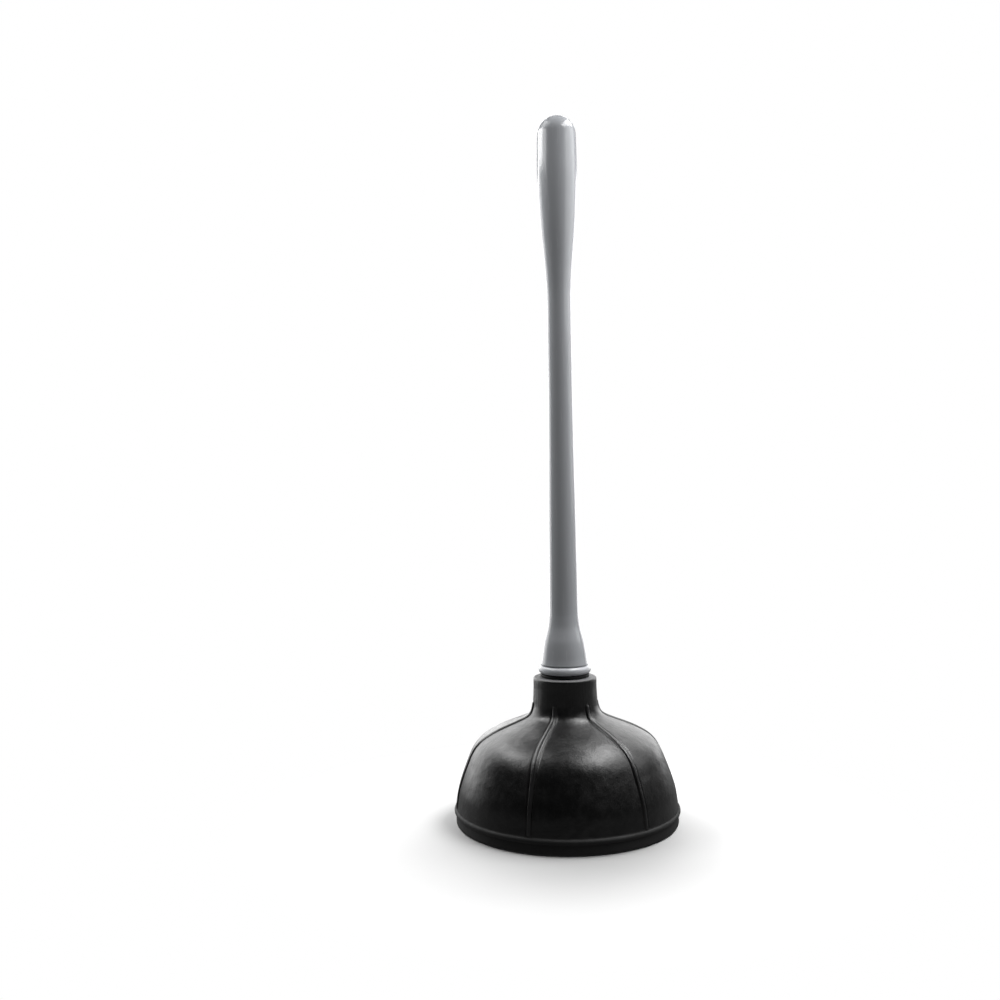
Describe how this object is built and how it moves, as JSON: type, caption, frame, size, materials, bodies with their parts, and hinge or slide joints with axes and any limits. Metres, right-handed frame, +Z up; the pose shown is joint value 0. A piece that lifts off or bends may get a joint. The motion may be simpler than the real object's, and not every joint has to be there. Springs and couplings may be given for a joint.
{
  "type": "toilet plunger",
  "caption": "Plunger with a ribbed rubber cup whose neck takes the threaded foot of a long hollow plastic handle.",
  "frame": {"origin": "centre of the rim's underside, on the surface that the plunger stands on", "axes": "+Z up along the handle; the cup and handle are round about Z, and the ribs are sixty degrees apart"},
  "size_m": [0.145, 0.145, 0.4552],
  "materials": {
    "cup_rubber": "satin black moulded rubber",
    "seal_rubber": "matt black rubber",
    "thread_plastic": "as moulded, dark grey",
    "ring_plastic": "satin light grey moulded plastic",
    "handle_plastic": "glossy mid grey moulded plastic"
  },
  "bodies": {
    "cup": {"rubber_cup": "cup_rubber"},
    "neck": {"threaded_bush": "thread_plastic"},
    "seal": {"seal_washer": "seal_rubber"},
    "handle": {"handle_shell": "handle_plastic", "collar_ring": "ring_plastic", "threaded_spigot": "thread_plastic"}
  },
  "joints": [
    {"name": "plunge_stroke", "type": "slide", "parent": "cup", "child": "neck", "axis": [0, 0, -1], "range_m": [0, 0.03], "stiffness_N_per_m": 2500, "springref_m": -0.0012, "deforming": ["rubber_cup"]},
    {"name": "handle_lift", "type": "slide", "parent": "neck", "child": "seal", "axis": [0, 0, 1], "range_m": [0, 0.02794]},
    {"name": "handle_unscrew", "type": "hinge", "parent": "seal", "child": "handle", "pos_m": [0, 0, 0.0925], "axis": [0, 0, 1], "range_deg": [0, 1981]}
  ],
  "couplings": [
    {"joint": "handle_unscrew", "follows": "handle_lift", "rad_per_m": 1236.8}
  ]
}
